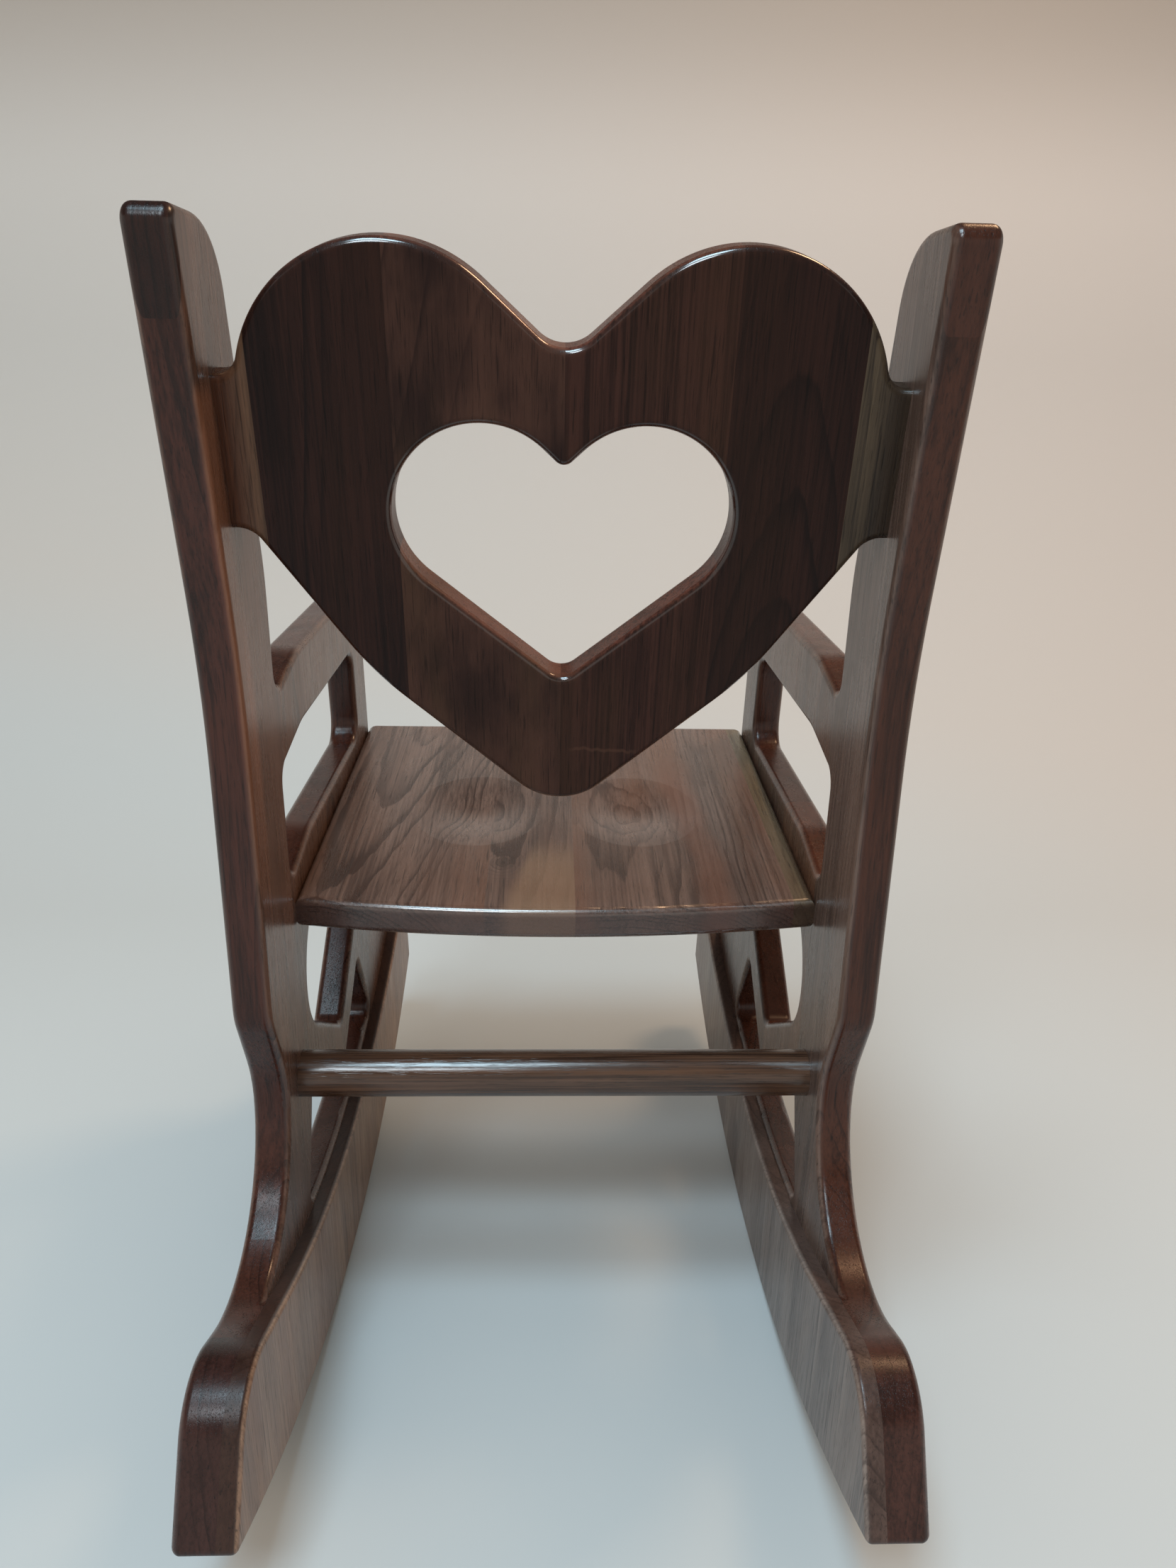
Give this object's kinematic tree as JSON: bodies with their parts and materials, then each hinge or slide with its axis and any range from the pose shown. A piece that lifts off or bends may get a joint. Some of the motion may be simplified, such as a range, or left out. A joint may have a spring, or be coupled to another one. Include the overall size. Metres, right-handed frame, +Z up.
{
  "type": "rocking chair",
  "caption": "Child's rocking chair with a heart-shaped back cut through by a smaller heart, board sides with arms, a hollowed seat and curved rockers.",
  "frame": {"origin": "on the floor, at the middle of the chair's width and depth", "axes": "+X to the sitter's left, +Y to the back of the chair, +Z up from the floor, with the chair leaning back to where it comes to rest"},
  "size_m": [0.318, 0.5694, 0.5836],
  "materials": {
    "side_walnut": "satin lacquer",
    "tip_walnut": "satin lacquer",
    "lining_walnut": "satin lacquer",
    "heart_walnut": "satin lacquer",
    "heart_sapwood": "satin lacquer",
    "seat_walnut": "satin lacquer",
    "seat_sapwood": "satin lacquer",
    "stretcher_walnut": "satin lacquer",
    "pin_wood": "bare"
  },
  "bodies": {
    "root": {"left_toe": "side_walnut", "left_front_post": "side_walnut", "left_arm_front": "side_walnut", "left_rail_front": "side_walnut", "left_rocker_front": "side_walnut", "left_arm_back": "side_walnut", "left_rail_back": "side_walnut", "left_rocker_back": "side_walnut", "left_post": "side_walnut", "left_foot": "side_walnut", "left_heel": "side_walnut", "right_toe": "side_walnut", "right_front_post": "side_walnut", "right_arm_front": "side_walnut", "right_rail_front": "side_walnut", "right_rocker_front": "side_walnut", "right_arm_back": "side_walnut", "right_rail_back": "side_walnut", "right_rocker_back": "side_walnut", "right_post": "side_walnut", "right_foot": "side_walnut", "right_heel": "side_walnut", "left_post_tip": "tip_walnut", "right_post_tip": "tip_walnut", "left_rocker_lining": "lining_walnut", "right_rocker_lining": "lining_walnut", "heart_left_side": "heart_walnut", "heart_left_lobe": "heart_walnut", "heart_left_point": "heart_walnut", "heart_right_lobe": "heart_walnut", "heart_right_point": "heart_walnut", "heart_right_side": "heart_walnut", "heart_left_ear": "heart_sapwood", "heart_right_ear": "heart_sapwood", "seat_left_board": "seat_walnut", "seat_middle_board": "seat_walnut", "seat_right_board": "seat_walnut", "seat_sap_board": "seat_sapwood", "stretcher": "stretcher_walnut", "left_back_pins": "pin_wood", "left_seat_pins": "pin_wood", "right_back_pins": "pin_wood", "right_seat_pins": "pin_wood"}
  },
  "joints": []
}
